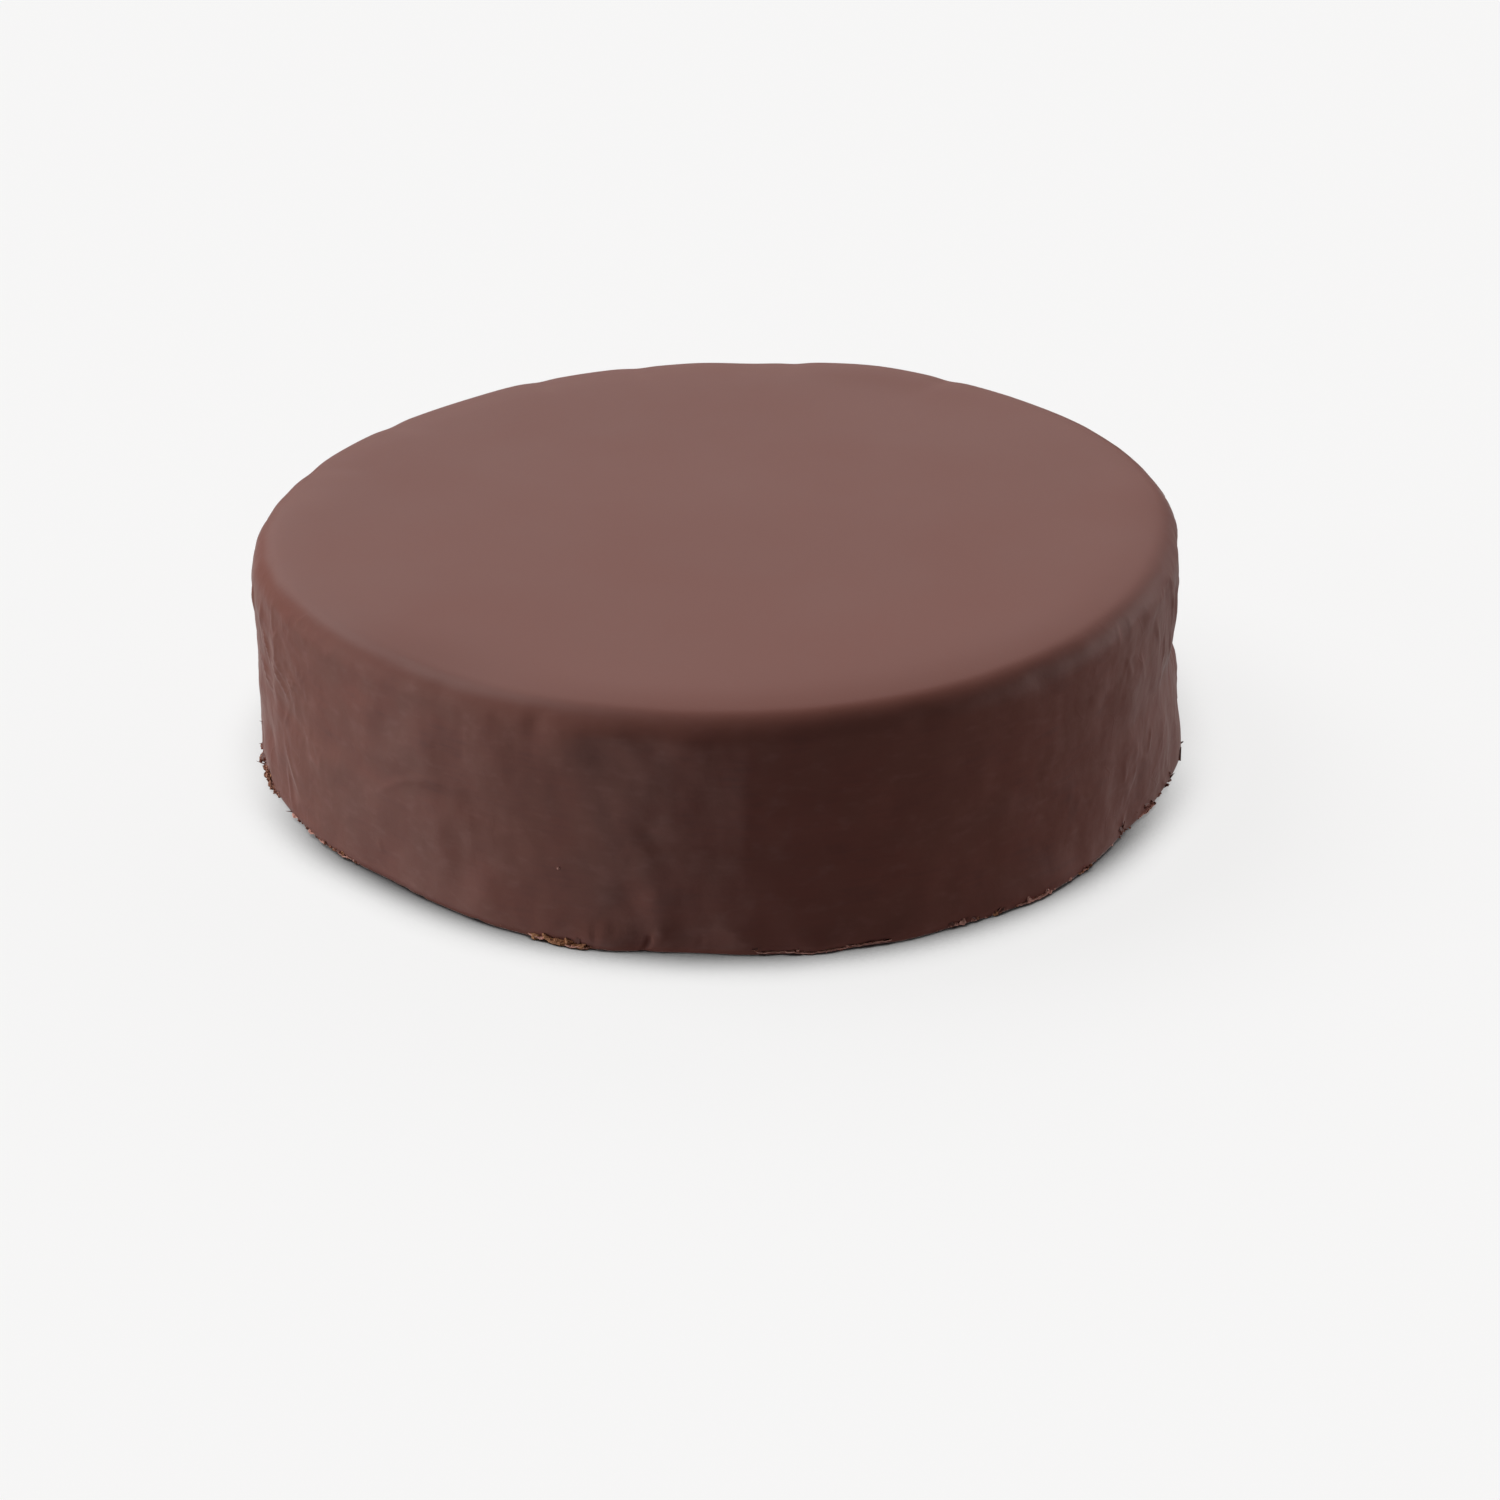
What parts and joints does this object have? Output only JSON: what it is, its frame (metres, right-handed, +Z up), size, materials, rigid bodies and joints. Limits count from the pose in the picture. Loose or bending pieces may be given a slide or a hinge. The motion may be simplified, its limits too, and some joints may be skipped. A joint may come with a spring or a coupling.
{
  "type": "sachertorte cake",
  "caption": "Whole glazed chocolate torte: a low round drum with a soft shoulder, a flat satin top, a dimpled side and a broken hem of glaze along the foot.",
  "frame": {"origin": "centre of the base, on the surface that the cake stands on", "axes": "+Z up through the cake's middle; the side that was pictured faces -Y; +X to its right"},
  "size_m": [0.2434, 0.246, 0.0619],
  "materials": {
    "chocolate_glaze": "satin chocolate glaze, poured smooth on top and thin over the crumb at the side",
    "broken_glaze": "broken edge of set chocolate glaze, dull and reddish brown",
    "sponge": "baked chocolate sponge, open crumb with a browned crust"
  },
  "bodies": {
    "root": {"cake": "chocolate_glaze"}
  },
  "joints": []
}
